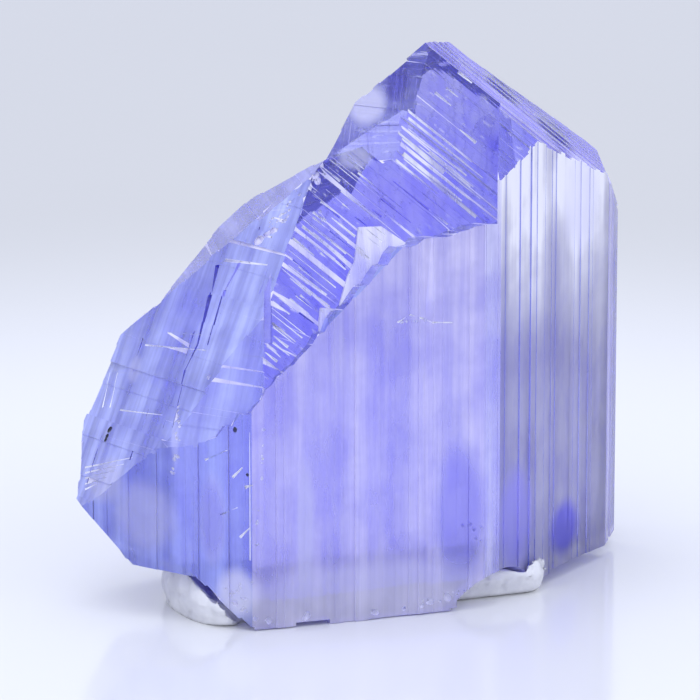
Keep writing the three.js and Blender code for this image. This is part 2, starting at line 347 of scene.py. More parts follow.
class Wiring:
    """Short names for adding and linking one material's nodes."""

    def __init__(self, name: str) -> None:
        """Starts a material with a single shader.

        Args:
            name: The material's name.
        """
        self.material = bpy.data.materials.new(name)
        self.material.use_nodes = True
        self.tree = self.material.node_tree
        self.shader = self.tree.nodes["Principled BSDF"]
        self.output = self.tree.nodes["Material Output"]

    def node(self, kind: str, **settings: object) -> bpy.types.Node:
        """Adds a node.

        Args:
            kind: The node's type without its Shader prefix.
            **settings: Values for the node's own properties.

        Returns:
            The new node.
        """
        node = self.tree.nodes.new("ShaderNode" + kind)
        for name, value in settings.items():
            setattr(node, name, value)
        return node

    def link(self, source: object, socket: bpy.types.NodeSocket) -> None:
        """Feeds a socket.

        Args:
            source: Another socket or a plain value.
            socket: The socket that is fed.
        """
        if isinstance(source, bpy.types.NodeSocket):
            self.tree.links.new(source, socket)
        else:
            socket.default_value = source

    def math(self, operation: str, *values: object) -> bpy.types.NodeSocket:
        """Adds a Math node.

        Args:
            operation: The node's operation.
            *values: Sockets or plain numbers.

        Returns:
            Its result.
        """
        node = self.node("Math", operation=operation)
        for value, socket in zip(values, node.inputs):
            self.link(value, socket)
        return node.outputs[0]

    def dot(self, first: object, second: object) -> bpy.types.NodeSocket:
        """Adds a dot product.

        Args:
            first: One vector.
            second: The other.

        Returns:
            Its value.
        """
        node = self.node("VectorMath", operation="DOT_PRODUCT")
        self.link(first, node.inputs[0])
        self.link(second, node.inputs[1])
        return node.outputs["Value"]

    def vector(self, x: object, y: object, z: object) -> bpy.types.NodeSocket:
        """Joins three numbers into a vector.

        Args:
            x: The first number.
            y: The second.
            z: The third.

        Returns:
            The vector.
        """
        node = self.node("CombineXYZ")
        for value, socket in zip((x, y, z), node.inputs):
            self.link(value, socket)
        return node.outputs[0]

    def noise(self, place: object, scale: float, detail: float = 2.0) -> bpy.types.NodeSocket:
        """Adds a noise pattern.

        Args:
            place: Where it is read.
            scale: Its size, in features a unit.
            detail: Octaves.

        Returns:
            Its value from 0 to 1.
        """
        node = self.node("TexNoise")
        self.link(place, node.inputs["Vector"])
        node.inputs["Scale"].default_value = scale
        node.inputs["Detail"].default_value = detail
        return node.outputs["Fac"]

    def between(
        self, value: object, low: float, high: float, start: float, end: float
    ) -> bpy.types.NodeSocket:
        """Maps a range smoothly onto another.

        Args:
            value: What is mapped.
            low: Where the range starts.
            high: Where it ends.
            start: Result at the start.
            end: Result at the end.

        Returns:
            The mapped value.
        """
        node = self.node("MapRange", interpolation_type="SMOOTHSTEP")
        for number, name in zip(
            (value, low, high, start, end), ("Value", "From Min", "From Max", "To Min", "To Max")
        ):
            self.link(number, node.inputs[name])
        return node.outputs["Result"]

    def swing(self, pattern: object, by: float, edge: float = 0.3) -> bpy.types.NodeSocket:
        """Turns a pattern into a factor around 1.

        Args:
            pattern: A value from 0 to 1.
            by: How far the factor strays from 1.
            edge: Pattern value at which it strays no further.

        Returns:
            The factor.
        """
        return self.between(pattern, edge, 1 - edge, 1 - by, 1 + by)

    def bump(self, height: object, strength: float, distance: float) -> bpy.types.NodeSocket:
        """Adds fine relief.

        Args:
            height: The pattern that is raised.
            strength: How fully it shows.
            distance: Its height in millimetres.

        Returns:
            The normal to shade with.
        """
        node = self.node("Bump")
        node.inputs["Strength"].default_value = strength
        node.inputs["Distance"].default_value = distance * MM
        self.link(height, node.inputs["Height"])
        return node.outputs["Normal"]

    def blend(self, factor: object, first: object, second: object) -> bpy.types.NodeSocket:
        """Mixes two numbers.

        Args:
            factor: Share of the second.
            first: One number.
            second: The other.

        Returns:
            The mixed number.
        """
        node = self.node("Mix", data_type="FLOAT")
        for value, socket in zip((factor, first, second), (node.inputs[0], node.inputs[2], node.inputs[3])):
            self.link(value, socket)
        return node.outputs[0]

    def mix(self, factor: object, first: object, second: object, kind: str = "MIX") -> bpy.types.NodeSocket:
        """Mixes two colours.

        Args:
            factor: Share of the second.
            first: One colour.
            second: The other.
            kind: The way that they are mixed.

        Returns:
            The mixed colour.
        """
        node = self.node("Mix", data_type="RGBA", blend_type=kind)
        for value, socket in zip((factor, first, second), (node.inputs[0], node.inputs[6], node.inputs[7])):
            self.link(value, socket)
        return node.outputs[2]

    def ball(self, place: object, centre: Vector, size: Size, strength: float) -> bpy.types.NodeSocket:
        """Gives a soft ball that is full in its middle.

        Args:
            place: Where it is read.
            centre: Its middle.
            size: Its reach along x, y and z.
            strength: Its value in the middle.

        Returns:
            A share from 0 to the strength.
        """
        mapping = self.node("Mapping", vector_type="TEXTURE")
        self.link(place, mapping.inputs["Vector"])
        mapping.inputs["Location"].default_value = centre
        mapping.inputs["Scale"].default_value = size
        ball = self.node("TexGradient", gradient_type="SPHERICAL")
        self.link(mapping.outputs["Vector"], ball.inputs["Vector"])
        return self.between(ball.outputs["Fac"], 0.0, BALL_CORE, 0.0, strength)

    def attribute(self, name: str, output: str) -> bpy.types.NodeSocket:
        """Reads one of the mesh's own attributes."""
        return self.node("Attribute", attribute_name=name).outputs[output]

    def place(self) -> bpy.types.NodeSocket:
        """Gives the place on the piece.

        Returns:
            The object's own coordinates in millimetres.
        """
        coords = self.node("TexCoord")
        scale = self.node("VectorMath", operation="SCALE")
        self.link(coords.outputs["Object"], scale.inputs[0])
        scale.inputs["Scale"].default_value = 1 / MM
        return scale.outputs["Vector"]


@dataclass(frozen=True)
class Patch:
    """A soft patch of another clearness or colour in the stone.

    Attributes:
        at: Its middle as seen.
        size: Its reach along x, y and z.
        frost: Share of it that is frosted.
        tint: Colour of its clear share.
        strength: How fully it shows.
        bloom: Colour of its frosted share.
    """

    at: Spot
    size: Size
    frost: float
    tint: Colour
    strength: float = 1.0
    bloom: Colour = (0.84, 0.83, 1.0)


@dataclass(frozen=True)
class Streaks:
    """A noise pattern drawn out along the grain.

    Attributes:
        stretch: Its change along the grain as a share of its change across.
        layer: Slice of the noise that it takes.
        scale: Features a millimetre across the grain.
        detail: Octaves.
    """

    stretch: float
    layer: float
    scale: float
    detail: float = 2.0

    def wire(self, wiring: Wiring, across: object, along: object) -> bpy.types.NodeSocket:
        """Adds the pattern to a material.

        Args:
            wiring: The material's nodes.
            across: Millimetres across the grain.
            along: Millimetres along it.

        Returns:
            Its value from 0 to 1.
        """
        slow = wiring.math("MULTIPLY", along, self.stretch)
        return wiring.noise(wiring.vector(across, slow, self.layer), self.scale, self.detail)


@dataclass(frozen=True)
class StoneFinish:
    """Clear violet-blue stone, frosted on its prism faces and where it is broken.

    Attributes:
        ior: Its refractive index.
        absorption: Colour that it lets through.
        density: How fast it absorbs light, a metre.
        band: Broad bands of frost.
        fine: Fine lines of frost and roughness.
        mottle: Dark mottling of the clear share.
        glint: Painted glints: bright frosted flecks on clear faces that stand in for sparkle.
        cloud_scale: Clouds of frost a millimetre.
        band_swing: How far the bands change the frost.
        fine_swing: How far the fine lines change it.
        cloud_swing: How far the clouds change it.
        rough_swing: How far the fine lines change the roughness.
        foot_shade_height: Heights in millimetres between which the frost grows to its full share, above the
            painted shade at the foot.
        vein: Colour of the mottling.
        vein_range: Values of its pattern between which it sets in.
        vein_depth: How fully it shows.
        glint_range: Values of the painted glints' pattern between which they set in.
        glint_share: Frost that a painted glint adds to a clear face.
        glint_ground: Frost of a face between which its painted glints grow faint.
        glint_faint: Share that is left of them.
        frost_rough: Roughness of the frosted share.
        relief: Strength of the fine relief.
        relief_height: Its height in millimetres.
    """

    ior: float = 1.69
    absorption: Colour = (0.05, 0.02, 0.975)
    density: float = 105.0
    band: Streaks = Streaks(0.04, 0.0, 0.8)
    fine: Streaks = Streaks(0.03, 5.0, 4.5)
    mottle: Streaks = Streaks(0.3, 9.0, 1.5, 4.0)
    glint: Streaks = Streaks(0.3, 3.0, 5.0)
    cloud_scale: float = 0.45
    band_swing: float = 0.4
    fine_swing: float = 0.15
    cloud_swing: float = 0.25
    rough_swing: float = 0.3
    foot_shade_height: Span = (9.0, 17.5)
    vein: Colour = (0.5, 0.46, 1.0)
    vein_range: Span = (0.42, 0.64)
    vein_depth: float = 0.8
    glint_range: Span = (0.58, 0.74)
    glint_share: float = 0.35
    glint_ground: Span = (0.1, 0.4)
    glint_faint: float = 0.1
    frost_rough: float = 0.5
    relief: float = 0.45
    relief_height: float = 0.03

    def material(self, patches: list[tuple[Patch, Vector]]) -> bpy.types.Material:
        """Builds the stone's material.

        Args:
            patches: Soft patches and their middles on the stone, in millimetres.

        Returns:
            The finished material.
        """
        wiring = Wiring("tanzanite")
        place = wiring.place()
        across = wiring.dot(place, wiring.attribute("across", "Vector"))
        along = wiring.dot(place, wiring.attribute("along", "Vector"))
        band = self.band.wire(wiring, across, along)
        fine = self.fine.wire(wiring, across, along)
        mottle = self.mottle.wire(wiring, across, along)
        # Pattern of the painted glints: frosted flecks that stand in for sparkle
        glint = self.glint.wire(wiring, across, along)
        share = self.frost_share(wiring, place, band, fine, glint)
        vein = wiring.between(mottle, *self.vein_range, 0.0, self.vein_depth)
        tint = wiring.mix(vein, wiring.attribute("tint", "Color"), (*self.vein, 1.0), "MULTIPLY")
        bloom = wiring.attribute("bloom", "Color")
        for patch, centre in patches:
            amount = wiring.ball(place, centre, patch.size, patch.strength)
            share = wiring.blend(amount, share, patch.frost)
            tint = wiring.mix(amount, tint, (*patch.tint, 1.0))
            bloom = wiring.mix(amount, bloom, (*patch.bloom, 1.0))
        clear = wiring.shader
        clear.inputs["Transmission Weight"].default_value = 1.0
        wiring.link(tint, clear.inputs["Base Color"])
        swing = wiring.swing(fine, self.rough_swing, edge=0.25)
        rough = wiring.math("MULTIPLY", wiring.attribute("rough", "Fac"), swing)
        wiring.link(rough, clear.inputs["Roughness"])
        frosted = wiring.node("BsdfPrincipled")
        frosted.inputs["Roughness"].default_value = self.frost_rough
        wiring.link(bloom, frosted.inputs["Base Color"])
        relief = wiring.bump(wiring.math("ADD", fine, band), self.relief, self.relief_height)
        for shader in (clear, frosted):
            shader.inputs["IOR"].default_value = self.ior
            wiring.link(relief, shader.inputs["Normal"])
        mixed = wiring.node("MixShader")
        wiring.link(wiring.math("MINIMUM", share, 1.0), mixed.inputs[0])
        wiring.link(clear.outputs[0], mixed.inputs[1])
        wiring.link(frosted.outputs[0], mixed.inputs[2])
        wiring.link(mixed.outputs[0], wiring.output.inputs["Surface"])
        volume = wiring.node("VolumeAbsorption")
        volume.inputs["Color"].default_value = (*self.absorption, 1)
        volume.inputs["Density"].default_value = self.density
        wiring.link(volume.outputs[0], wiring.output.inputs["Volume"])
        return wiring.material

    def frost_share(
        self, wiring: Wiring, place: object, band: object, fine: object, glint: object
    ) -> bpy.types.NodeSocket:
        """Works out how much of the surface is frosted, apart from the soft patches, with painted shade
        towards the foot and painted glints on clear faces.

        Args:
            wiring: The material's nodes.
            place: Place on the stone, in millimetres.
            band: Pattern of the broad bands.
            fine: Pattern of the fine lines.
            glint: Pattern of the painted glints.

        Returns:
            The frosted share, which may pass 1.
        """
        frost = wiring.attribute("frost", "Fac")
        fade = wiring.attribute("fade", "Fac")
        # Frost thins towards the foot of the prism faces, leaving them clearer and darker there: painted
        # shade
        thin = wiring.between(wiring.dot(place, UPRIGHT), *self.foot_shade_height, 1.0, 0.0)
        kept = wiring.math("SUBTRACT", 1.0, wiring.math("MULTIPLY", thin, fade))
        share = wiring.math("MULTIPLY", frost, kept)
        cloud = wiring.noise(place, self.cloud_scale, detail=3.0)
        for pattern, by in ((band, self.band_swing), (fine, self.fine_swing), (cloud, self.cloud_swing)):
            share = wiring.math("MULTIPLY", share, wiring.swing(pattern, by))
        # Painted glints: frosted flecks on clear faces that stand in for sparkle
        painted_glints = wiring.between(glint, *self.glint_range, 0.0, self.glint_share)
        bare = wiring.between(frost, *self.glint_ground, 1.0, self.glint_faint)
        return wiring.math("ADD", share, wiring.math("MULTIPLY", painted_glints, bare))


@dataclass(frozen=True)
class Facet:
    """A flat face of the stone: the way it faces, a point on it in millimetres, and its grain."""

    normal: Vector
    point: Vector
    grain: Vector

    @property
    def across(self) -> Vector:
        """The direction in the face across its grain."""
        return self.normal.cross(self.grain).normalized()

    def at(self, along: float, across: float) -> Vector:
        """Gives a point of the face.

        Args:
            along: Millimetres along the grain.
            across: Millimetres across it.

        Returns:
            The point in millimetres.
        """
        return self.point + self.grain * along + self.across * across


@dataclass(frozen=True)
class Striations:
    """A set of fine grooves along a facet's grain.

    Attributes:
        facet: The facet they are on.
        reach: First and last line, in millimetres across the grain.
        run: First and last end of the lines, in millimetres along the grain.
        spacing: Usual distance between lines.
        width: Narrowest and widest line.
        length: Shortest and longest line as a share of the room it has.
        seed: Seed of their unevenness.
        cut: What the grooves look like.
    """

    facet: Facet
    reach: tuple[float, float]
    run: tuple[float, float]
    spacing: float
    width: tuple[float, float]
    length: tuple[float, float]
    seed: int
    cut: Cut = Cut.LINE


@dataclass(frozen=True)
class Pits:
    """A row of small uneven pits.

    Attributes:
        path: Places that the row follows, as seen.
        count: How many there are.
        size: Smallest and largest radius.
        spread: How far they stray from the path.
        cut: What they look like.
    """

    path: tuple[Spot, ...]
    count: int
    size: tuple[float, float]
    spread: float = 0.05
    cut: Cut = Cut.PIT


@dataclass(frozen=True)
class Scratch:
    """A groove along a path.

    Attributes:
        path: Places that it follows, as seen.
        width: Its width.
        cut: What it looks like.
    """

    path: tuple[Spot, ...]
    width: float
    cut: Cut = Cut.LINE


# Rounds in which the pits are cut, so that no two of a round overlap
PIT_ROUNDS = ("first pits", "second pits", "third pits")
# Millimetres between the places where a groove is tried, and the fewest such steps that a groove takes
TRY_STEP = 0.12
SHORTEST_RUN = 3
# Least and greatest distance between striations, as shares of the usual one
SPACING_SPREAD = (0.4, 1.6)
# Depth of a groove as a share of its width, and its thin end as a share of its other end
GROOVE_DEPTH = 0.6
GROOVE_TIP = 0.35
# A ray from 1 mm above a facet: its reach and the least room, in millimetres, and how alike faces face
PROBE_REACH = 1.3
PROBE_ROOM = 0.85
SAME_FACING = 0.97
# A pit's length, unevenness, depth and room, as shares of its radius
PIT_STRETCH = (0.8, 1.7)
PIT_SWELL = (0.75, 1.2)
PIT_DEPTH = 0.7
PIT_ROOM = 1.25


class Carver:
    """Cuts grooves and pits into a stone and lays plates on it, all in millimetres."""

    def __init__(self, stone: bpy.types.Object) -> None:
        """Gets ready to carve.

        Args:
            stone: The stone that is carved.
        """
        self.stone = stone
        self.tree = self.surface()
        self.cutters = {group: bmesh.new() for group in ("plates", "lines", *PIT_ROUNDS)}
        self.taken: dict[str, list[tuple[Vector, float]]] = {group: [] for group in PIT_ROUNDS}

    def surface(self) -> BVHTree:
        """Reads the stone's present surface.

        Returns:
            A tree for finding places on it.
        """
        mesh = self.stone.data
        return BVHTree.FromPolygons(
            [vert.co.copy() for vert in mesh.vertices], [list(face.vertices) for face in mesh.polygons]
        )

    def exposed(self, point: Vector, normal: Vector) -> Vector | None:
        """Finds the surface at a facet's point if nothing covers it.

        Args:
            point: A point of the facet.
            normal: The facet's outward normal.

        Returns:
            The point on the surface, or None where the facet is covered or has ended.
        """
        hit, faced, _, reach = self.tree.ray_cast(point + normal, -normal, PROBE_REACH)
        if hit is None or faced.dot(normal) < SAME_FACING or reach < PROBE_ROOM:
            return None
        return hit

    def add(self, group: str, verts: list, matrix: Matrix, cut: Cut) -> None:
        """Places a new cutter and names what it cuts.

        Args:
            group: The group of cutters it belongs to.
            verts: Its vertices.
            matrix: Where it goes.
            cut: What its faces look like in the stone.
        """
        solid = self.cutters[group]
        bmesh.ops.transform(solid, matrix=matrix, verts=verts)
        faces = list({face for vert in verts for face in vert.link_faces})
        bmesh.ops.recalc_face_normals(solid, faces=faces)
        for face in faces:
            face.material_index = cut.value

    def groove(self, start: Vector, end: Vector, normal: Vector, width: float, cut: Cut) -> None:
        """Adds a narrow groove that thins out towards its end.

        Args:
            start: Its first end.
            end: Its other end.
            normal: Outward normal of the face.
            width: Its width in millimetres.
            cut: What it looks like.
        """
        grain = end - start
        across = normal.cross(grain).normalized()
        depth = width * GROOVE_DEPTH
        made = bmesh.ops.create_cone(
            self.cutters["lines"], cap_ends=True, segments=4, radius1=1.0, radius2=GROOVE_TIP, depth=1.0
        )
        axes = Matrix((across * width * 0.5, normal * depth, grain)).transposed().to_4x4()
        axes.translation = (start + end) / 2
        self.add("lines", made["verts"], axes, cut)

    def striate(self, lines: Striations) -> None:
        """Cuts a set of fine grooves where their facet shows.

        Args:
            lines: The set.
        """
        rng = random.Random(lines.seed)
        facet = lines.facet
        across = lines.reach[0]
        while across < lines.reach[1]:
            across += lines.spacing * rng.uniform(*SPACING_SPREAD)
            steps = int((lines.run[1] - lines.run[0]) / TRY_STEP)
            points = [facet.at(lines.run[0] + TRY_STEP * i, across) for i in range(steps)]
            hits = [self.exposed(point, facet.normal) for point in points]
            for run in self.runs(hits):
                share = rng.uniform(*lines.length)
                first = int((1 - share) * rng.random() * (len(run) - 1))
                last = min(len(run) - 1, first + int(share * (len(run) - 1)))
                width = rng.uniform(*lines.width)
                if last - first < SHORTEST_RUN:
                    continue
                ends = (run[first], run[last]) if rng.random() < 0.5 else (run[last], run[first])
                self.groove(*ends, facet.normal, width, lines.cut)

    @staticmethod
    def runs(hits: list[Vector | None]) -> list[list[Vector]]:
        """Parts a row of hits into the stretches without a gap.

        Args:
            hits: Points, with None where the facet doesn't show.

        Returns:
            The stretches.
        """
        found: list[list[Vector]] = [[]]
        for hit in hits:
            if hit is None:
                found.append([])
            else:
                found[-1].append(hit)
        return [run for run in found if len(run) > SHORTEST_RUN]

    def pit(self, place: Vector, normal: Vector, size: float, cut: Cut, rng: random.Random) -> None:
        """Adds a small uneven pit to the first round where it is clear of the others.

        Args:
            place: Its middle on the surface.
            normal: Outward normal of the face.
            size: Its radius in millimetres.
            cut: What it looks like.
            rng: Source of its unevenness.
        """
        long = rng.uniform(*PIT_STRETCH)
        reach = PIT_ROOM * size * max(1.0, long)
        clear = [
            group
            for group, pits in self.taken.items()
            if all((place - other).length > reach + room for other, room in pits)
        ]
        if not clear:
            return
        self.taken[clear[0]].append((place, reach))
        made = bmesh.ops.create_icosphere(self.cutters[clear[0]], subdivisions=1, radius=1.0)
        for vert in made["verts"]:
            vert.co *= rng.uniform(*PIT_SWELL)
        side = normal.orthogonal().normalized()
        side.rotate(Quaternion(normal, rng.uniform(0, math.tau)))
        rows = (side * size * long, normal.cross(side) * size, normal * size * PIT_DEPTH)
        axes = Matrix(rows).transposed().to_4x4()
        axes.translation = place
        self.add(clear[0], made["verts"], axes, cut)

    def seen(self, at: Spot) -> tuple[Vector, Vector] | None:
        """Finds what the camera sees of the stone.

        Args:
            at: A place as seen.

        Returns:
            The point in millimetres and its normal, or None beside the stone.
        """
        hit, normal, _, _ = self.tree.ray_cast(VIEW.eye, VIEW.towards(at))
        return None if hit is None else (hit, normal)

    def scatter(self, pits: Pits, seed: int) -> None:
        """Cuts a row of uneven pits along a path.

        Args:
            pits: The row.
            seed: Seed of its unevenness.
        """
        rng = random.Random(seed)
        for _ in range(pits.count):
            leg = rng.randrange(max(1, len(pits.path) - 1))
            first, last = Vector(pits.path[leg]), Vector(pits.path[min(leg + 1, len(pits.path) - 1)])
            spot = first.lerp(last, rng.random())
            found = self.seen((spot.x + rng.gauss(0, pits.spread), spot.y + rng.gauss(0, pits.spread)))
            size = rng.uniform(*pits.size)
            if found:
                self.pit(*found, size, pits.cut, rng)

    def scratch(self, mark: Scratch) -> None:
        """Cuts a groove along a path.

        Args:
            mark: The groove.
        """
        ends = [self.seen(spot) for spot in mark.path]
        for first, last in zip(ends, ends[1:]):
            if first and last:
                normal = (first[1] + last[1]).normalized()
                self.groove(first[0], last[0], normal, mark.width, mark.cut)

    def plate(self, facet: Facet, outline: tuple[Spot, ...], sunk: float, proud: float) -> None:
        """Lays a flat plate on a facet.

        Args:
            facet: The facet.
            outline: Its corners, in millimetres along and across the grain.
            sunk: How deep it starts below the facet.
            proud: How far it stands out.
        """
        solid = self.cutters["plates"]
        floor = -facet.normal * sunk
        corners = [solid.verts.new(facet.at(along, across) + floor) for along, across in outline]
        face = solid.faces.new(corners)
        raised = bmesh.ops.extrude_face_region(solid, geom=[face], use_keep_orig=True)["geom"]
        top = [item for item in raised if isinstance(item, bmesh.types.BMVert)]
        bmesh.ops.translate(solid, verts=top, vec=facet.normal * (sunk + proud))
        bmesh.ops.recalc_face_normals(solid, faces=solid.faces)
        for face in solid.faces:
            face.material_index = Cut.PLATE.value

    def carve(self, group: str) -> None:
        """Applies one group of cutters to the stone.

        Args:
            group: The group's name.
        """
        solid = self.cutters[group]
        mesh = bpy.data.meshes.new(group)
        solid.to_mesh(mesh)
        solid.free()
        cut_slots(mesh)
        cutter = put(group, mesh)
        boolean = self.stone.modifiers.new(group, "BOOLEAN")
        boolean.object = cutter
        boolean.operation = "UNION" if group == "plates" else "DIFFERENCE"
        boolean.solver = "EXACT"
        boolean.use_self = group == "lines"
        boolean.material_mode = "INDEX"
        apply_modifiers(self.stone)
        bpy.data.objects.remove(cutter)
        self.tree = self.surface()
        LOG.info("%s carved, %d faces", group, len(self.stone.data.polygons))


# Outline of the pale plate, in millimetres along and across the grain of the slope
PALE_PLATE = (
    (2.7, -1.4), (3.4, -0.8), (4.6, -0.7), (4.5, -2.7), (4.2, -5.3), (4.1, -6.0), (3.4, -4.9), (4.0, -4.5),
    (3.5, -3.2), (3.4, -2.6),
)
# Marks on the stone, in millimetres right of and above the middle of the view
LEVEL_LINES = (
    Scratch(((-5.0, 3.6), (-3.3, 3.4)), 0.14),
    Scratch(((-8.2, 0.2), (-5.9, 0.0), (-3.5, -0.3)), 0.07),
    Scratch(((-7.3, 0.7), (-3.4, 0.3)), 0.05),
    Scratch(((-9.2, -2.4), (-7.5, -2.6)), 0.06),
    Scratch(((-5.8, -4.4), (-4.9, -4.0)), 0.08),
)
RIM_STREAKS = tuple(Scratch(((x, -2.3), (x + 0.3, -0.9)), 0.07) for x in (-9.9, -9.6))
FAN_LINES = tuple(
    Scratch(((-10.6, -4.7 - 0.22 * i), (-8.7 - 0.35 * i, -4.3 - 0.26 * i)), 0.08) for i in range(5)
)
EDGE_NICKS = (
    Scratch(((-4.7, -5.1), (-4.3, -4.7)), 0.12),
    Scratch(((-4.2, -5.5), (-3.9, -5.4)), 0.15),
    Scratch(((-5.2, -6.6), (-4.5, -6.3)), 0.08),
    Scratch(((-4.4, -7.5), (-4.0, -7.1)), 0.11),
)
CRACK = Scratch(((1.9, 1.1), (2.4, 1.4), (2.8, 1.3), (3.3, 1.1), (4.1, 1.1)), 0.08)
DARK_LINES = (
    Scratch(((-5.3, 3.4), (-5.6, 2.2), (-6.1, 0.2)), 0.26, Cut.NOTCH),
    Scratch(((-6.1, 0.2), (-6.6, -0.8), (-7.1, -3.1)), 0.1, Cut.NOTCH),
    Scratch(((-4.4, 3.5), (-5.0, 2.4), (-5.7, 0.2)), 0.18, Cut.NOTCH),
)
SCRATCHES = (*LEVEL_LINES, *RIM_STREAKS, *FAN_LINES, *EDGE_NICKS, CRACK, *DARK_LINES)
FOOT_EDGE = ((-4.8, -10.0), (-3.7, -10.8), (2.0, -10.4), (4.6, -9.6), (7.6, -8.6))
PITS = (
    Pits(((-1.1, 7.0), (-2.4, 5.8), (-3.5, 4.3)), 34, (0.03, 0.09), 0.13),
    Pits(((-1.1, 7.0), (-2.4, 5.8), (-3.5, 4.3)), 22, (0.12, 0.26), 0.08, Cut.NONE),
    Pits(((-1.1, 5.3),), 8, (0.04, 0.09), 0.1),
    Pits(FOOT_EDGE, 20, (0.03, 0.08), 0.06),
    Pits(FOOT_EDGE, 24, (0.07, 0.18), 0.04, Cut.NONE),
    Pits(((-4.8, -9.4), (-4.2, -10.0)), 14, (0.04, 0.1), 0.2),
    Pits(((-3.4, -2.7), (-3.9, -9.7)), 14, (0.04, 0.08), 0.04),
    Pits(((-6.8, -2.3), (-7.1, -5.1)), 18, (0.04, 0.1), 0.08),
    Pits(((-5.7, -1.1),), 2, (0.08, 0.12)),
    Pits(((1.9, 1.1), (3.3, 1.2)), 8, (0.04, 0.08), 0.06),
    Pits(((4.8, -6.8), (5.2, -7.6)), 7, (0.05, 0.09), 0.15),
    Pits(((-9.6, -3.2), (-9.8, -3.6)), 5, (0.1, 0.16), 0.05, Cut.SPECK),
    Pits(((-4.6, -3.2),), 1, (0.09, 0.11), 0.0, Cut.SPECK),
    Pits(((-4.1, -5.0),), 1, (0.07, 0.09), 0.0, Cut.SPECK),
)
VIOLET: Colour = (0.62, 0.54, 1.0)
DEEP: Colour = (0.42, 0.38, 0.95)
SKY: Colour = (0.8, 0.95, 1.0)
CLEAR: Colour = (1.0, 1.0, 1.0)
PATCHES = (
    Patch((8.6, -7.1), (1.5, 1.5, 1.5), 0.0, (0.16, 0.14, 0.75)),
    Patch((4.4, -6.6), (1.4, 1.1, 3.8), 0.15, VIOLET, 0.95),
    Patch((-1.8, -7.2), (0.45, 0.9, 3.6), 0.5, (0.8, 0.8, 0.82), 0.7),
    Patch((9.2, 6.0), (1.8, 1.8, 2.6), 1.0, CLEAR, 0.7),
    Patch((6.6, -6.8), (1.6, 1.6, 2.8), 0.12, VIOLET, 0.9),
    Patch((-8.6, -0.8), (0.4, 0.6, 0.9), 0.6, CLEAR, 0.4),
    Patch((6.1, 10.5), (1.4, 2.5, 1.0), 0.0, DEEP, 0.8),
    Patch((8.1, 8.8), (1.2, 2.5, 1.0), 0.0, DEEP, 0.8),
    Patch((1.9, 10.7), (0.7, 0.8, 1.2), 0.0, DEEP, 0.8),
    Patch((0.7, 9.8), (1.1, 1.1, 1.1), 0.7, CLEAR, 0.9),
    Patch((0.2, 7.7), (0.9, 1.0, 0.6), 0.5, SKY, 0.8),
    Patch((-5.5, -6.8), (0.7, 1.0, 2.2), 0.05, (0.72, 0.85, 1.0), 0.7),
    Patch((2.2, 6.0), (3.2, 1.5, 1.4), 0.02, VIOLET, 0.9),
    Patch((-7.0, -3.5), (0.2, 0.6, 1.6), 0.7, CLEAR, 0.35),
    Patch((-9.8, -5.2), (1.4, 1.2, 1.1), 0.45, SKY, 0.6),
    Patch((0.5, -9.9), (7.5, 4.5, 2.0), 0.6, CLEAR, 0.5),
    Patch((-8.2, -6.6), (1.8, 1.5, 1.8), 0.5, CLEAR, 0.6),
    Patch((-4.5, -9.7), (1.1, 0.9, 1.3), 0.75, CLEAR, 0.8),
)


# Points on the stone's facets, in the row frame. The first is the CAD source's origin
FRONT_FOOT = Vector((-3.925, -7.689, 0.0))
LEFT_APEX = Vector((-1.065, -3.639, 18.17))
MIDDLE_APEX = Vector((1.675, -2.989, 17.85))
TOP_FOOT = Vector((2.135, -0.829, 19.65))
RIGHT_FOOT = Vector((5.944, -3.806, 0.0))
LEFT_POINT = Vector((-6.4, -3.58, 11.21))
# Leans of the faces along the ridge, and the way that the left corner faces, in degrees
STEEP_LEAN = 24.5
FLAT_LEAN = 52.0
LEFT_CORNER = facing(-53, 29.9)
# Carved corners within this many millimetres are one, and so are faces turned by less than these degrees
CARVED_MERGE = 1e-4
FLAT_TURN = 0.3
# A slanting direction to sort the stone's parts along
SORT_WAY = Vector((1.0, 7.31, 53.17))
# Seed of the first row of pits
PIT_SEED = 31


